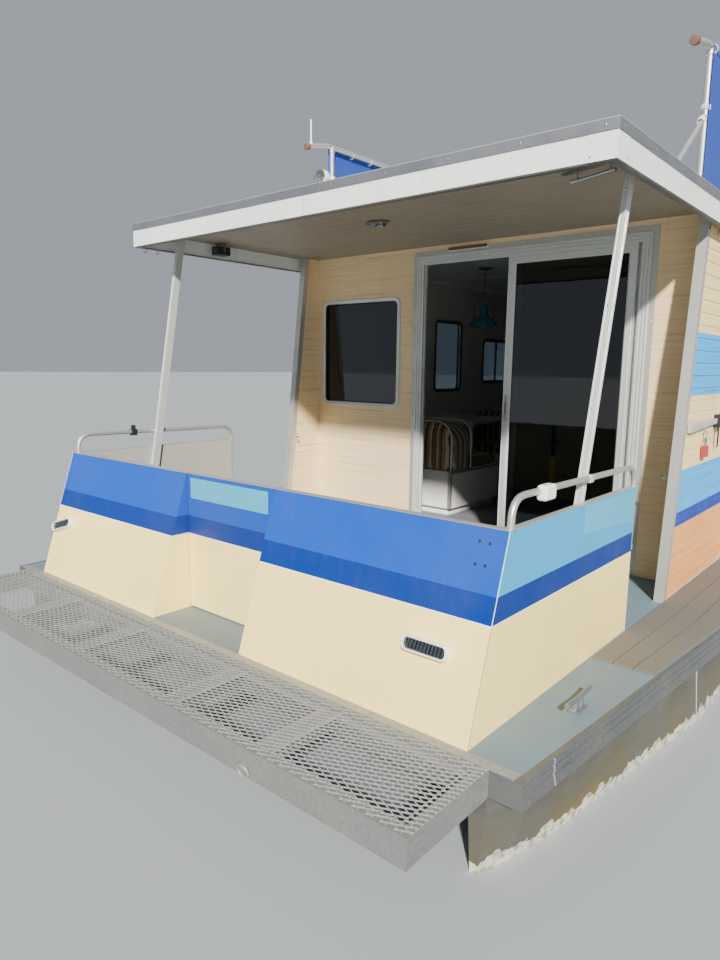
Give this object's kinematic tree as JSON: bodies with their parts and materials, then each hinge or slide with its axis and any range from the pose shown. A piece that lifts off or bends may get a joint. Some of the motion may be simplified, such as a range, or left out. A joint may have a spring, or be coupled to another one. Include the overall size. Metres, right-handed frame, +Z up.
{
  "type": "houseboat",
  "caption": "Twin-hull cabin houseboat with front patio deck, boarding platform, bow gate, sliding patio door, flat roof with railed sun deck and an outboard motor.",
  "frame": {"origin": "on the waterline, on the centreline, amidships", "axes": "+X to the bow, +Y to port, +Z up"},
  "size_m": [11.242, 3.76, 3.98],
  "materials": {
    "cream_paint": "gloss cream with blue bands",
    "siding": "ribbed aluminium siding, satin",
    "white_paint": "white enamel",
    "aluminium": "weathered mill finish",
    "galvanised": "weathered galvanised",
    "hull_metal": "weathered, stained at the waterline",
    "deck_paint": "light blue-grey deck paint",
    "non_skid": "gritty warm grey",
    "drip_metal": "dull grey",
    "tinted_glass": "tinted",
    "canvas": "blue woven canvas",
    "laminate": "white laminate",
    "striped_cloth": "striped woven cloth",
    "teal_enamel": "teal enamel",
    "lamp_white": "white moulded plastic",
    "motor_paint": "dark charcoal"
  },
  "bodies": {
    "hull": {"hull_port": "hull_metal", "hull_starboard": "hull_metal", "deck": "deck_paint", "gunwale_port": "aluminium", "gunwale_starboard": "aluminium", "side_walk_port": "non_skid", "side_walk_starboard": "non_skid", "platform_frame": "galvanised", "platform_grating": "galvanised", "bulwark_front_port": "cream_paint", "bulwark_front_starboard": "cream_paint", "bulwark_side_port": "cream_paint", "bulwark_side_starboard": "cream_paint", "hand_rail_port": "aluminium", "hand_rail_starboard": "aluminium", "roof_post_port": "aluminium", "roof_post_starboard": "aluminium", "docking_light_port": "lamp_white", "docking_light_starboard": "lamp_white", "dome_lamp": "lamp_white", "roof": "white_paint", "roof_fascia": "white_paint", "roof_drip_edge": "drip_metal", "window_front": "tinted_glass", "window_port_mid": "tinted_glass", "window_port_aft": "tinted_glass", "window_starboard_fore": "tinted_glass", "window_starboard_mid": "tinted_glass", "window_starboard_aft": "tinted_glass", "window_aft": "tinted_glass", "wall_front": "siding", "wall_port": "siding", "wall_starboard": "siding", "wall_aft": "siding", "wing_trim_port": "aluminium", "wing_trim_starboard": "aluminium", "patio_frame": "aluminium", "patio_fixed_panel": "aluminium", "galley_cabinet": "laminate", "dinette_seat": "laminate", "dinette_seat_aft": "laminate", "dinette_table": "laminate", "dinette_cushion": "striped_cloth", "pendant_lamp": "teal_enamel", "roof_rail_port": "aluminium", "roof_rail_starboard": "aluminium", "stern_rail_port": "aluminium", "stern_rail_starboard": "aluminium", "roof_ladder": "aluminium", "motor_bracket": "aluminium", "canvas_port": "canvas", "canvas_starboard": "canvas", "motor_clamp": "motor_paint"},
    "gate": {"bow_gate": "cream_paint"},
    "side_door": {"side_door": "siding"},
    "aft_door": {"aft_door": "siding"},
    "patio_slider": {"patio_sliding_panel": "aluminium"},
    "motor_tilt": {"motor_swivel": "motor_paint"},
    "motor_steer": {"motor": "motor_paint"},
    "propeller": {"propeller": "aluminium"}
  },
  "joints": [
    {"name": "gate_hinge", "type": "hinge", "parent": "hull", "child": "gate", "pos_m": [4.688, -0.33, 0.75], "axis": [0, 0, 1], "range_deg": [0, 95]},
    {"name": "side_door_hinge", "type": "hinge", "parent": "hull", "child": "side_door", "pos_m": [1.616, 1.513, 1.3], "axis": [0, 0, 1], "range_deg": [0, 100]},
    {"name": "aft_door_hinge", "type": "hinge", "parent": "hull", "child": "aft_door", "pos_m": [-4.008, 0.884, 1.3], "axis": [0, 0, 1], "range_deg": [-100, 0]},
    {"name": "patio_door_slide", "type": "slide", "parent": "hull", "child": "patio_slider", "axis": [0, -1, 0], "range_m": [-0.027, 0.675]},
    {"name": "motor_tilt_hinge", "type": "hinge", "parent": "hull", "child": "motor_tilt", "pos_m": [-5.43, 0, 0.4], "axis": [0, 1, 0], "range_deg": [0, 65]},
    {"name": "motor_steering", "type": "hinge", "parent": "motor_tilt", "child": "motor_steer", "pos_m": [-5.475, 0, 0.3], "axis": [0, 0, 1], "range_deg": [-35, 35]},
    {"name": "propeller_spin", "type": "hinge", "parent": "motor_steer", "child": "propeller", "pos_m": [-5.775, 0, -0.33], "axis": [1, 0, 0], "continuous": true}
  ]
}
